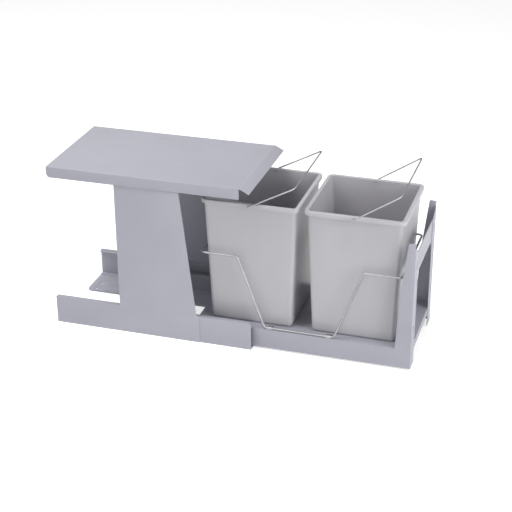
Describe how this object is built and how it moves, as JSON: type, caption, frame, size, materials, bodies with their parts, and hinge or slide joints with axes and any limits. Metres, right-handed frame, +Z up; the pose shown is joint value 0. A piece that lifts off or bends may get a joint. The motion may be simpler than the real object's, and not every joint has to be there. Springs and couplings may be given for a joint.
{
  "type": "pull-out waste bin cabinet unit",
  "caption": "Pull-out waste unit: tapered bins with wire bails on a sliding tray, under a bent steel cover on side plates that screw to the cabinet floor.",
  "frame": {"origin": "middle of the base's floor screws, on the cabinet's floor", "axes": "-Y towards the cabinet's door, +Z up, +X to the right as seen from the front"},
  "size_m": [0.256, 0.792, 0.3885],
  "materials": {
    "side_paint": "fine powder coat, silver grey",
    "zinc_steel": "zinc plated",
    "wire_finish": "satin plated wire",
    "bin_plastic": "fine grained",
    "ball_steel": "ground and polished"
  },
  "bodies": {
    "base": {"side_plate_left": "side_paint", "side_plate_right": "side_paint", "side_channel_left": "side_paint", "side_channel_right": "side_paint", "cover": "side_paint", "cover_studs": "zinc_steel", "cover_nuts": "zinc_steel", "slide_stand_left": "side_paint", "slide_stand_right": "side_paint", "slide_outer_left": "zinc_steel", "slide_outer_right": "zinc_steel", "slide_rivets": "zinc_steel"},
    "cage_left": {"ball_cage_left": "zinc_steel", "balls_left": "ball_steel"},
    "cage_right": {"ball_cage_right": "zinc_steel", "balls_right": "ball_steel"},
    "tray": {"slide_inner_left": "zinc_steel", "slide_inner_right": "zinc_steel", "tray_plate": "side_paint", "tray_side_left": "side_paint", "tray_side_right": "side_paint", "front_crossbar": "side_paint", "guard_wire": "wire_finish", "wire_clips": "wire_finish", "clip_screws": "zinc_steel", "bin_rear": "bin_plastic", "bin_front": "bin_plastic"},
    "bail_rear": {"bail_rear": "wire_finish"},
    "bail_front": {"bail_front": "wire_finish"}
  },
  "joints": [
    {"name": "tray_slide", "type": "slide", "parent": "base", "child": "tray", "axis": [0, 1, 0], "range_m": [0, 0.32]},
    {"name": "cage_left_slide", "type": "slide", "parent": "base", "child": "cage_left", "axis": [0, 1, 0], "range_m": [0, 0.16]},
    {"name": "cage_right_slide", "type": "slide", "parent": "base", "child": "cage_right", "axis": [0, 1, 0], "range_m": [0, 0.16]},
    {"name": "bail_rear_swing", "type": "hinge", "parent": "tray", "child": "bail_rear", "pos_m": [0, -0.215, 0.3255], "axis": [-1, 0, 0], "range_deg": [-54, 44]},
    {"name": "bail_front_swing", "type": "hinge", "parent": "tray", "child": "bail_front", "pos_m": [0, -0.437, 0.3255], "axis": [-1, 0, 0], "range_deg": [-59, 139]}
  ],
  "couplings": [
    {"joint": "cage_left_slide", "follows": "tray_slide", "ratio": 0.5},
    {"joint": "cage_right_slide", "follows": "tray_slide", "ratio": 0.5},
    {"joint": "bail_rear_swing", "follows": "tray_slide", "rad_per_m": -2.2689},
    {"joint": "bail_front_swing", "follows": "tray_slide", "rad_per_m": -1.4071}
  ]
}
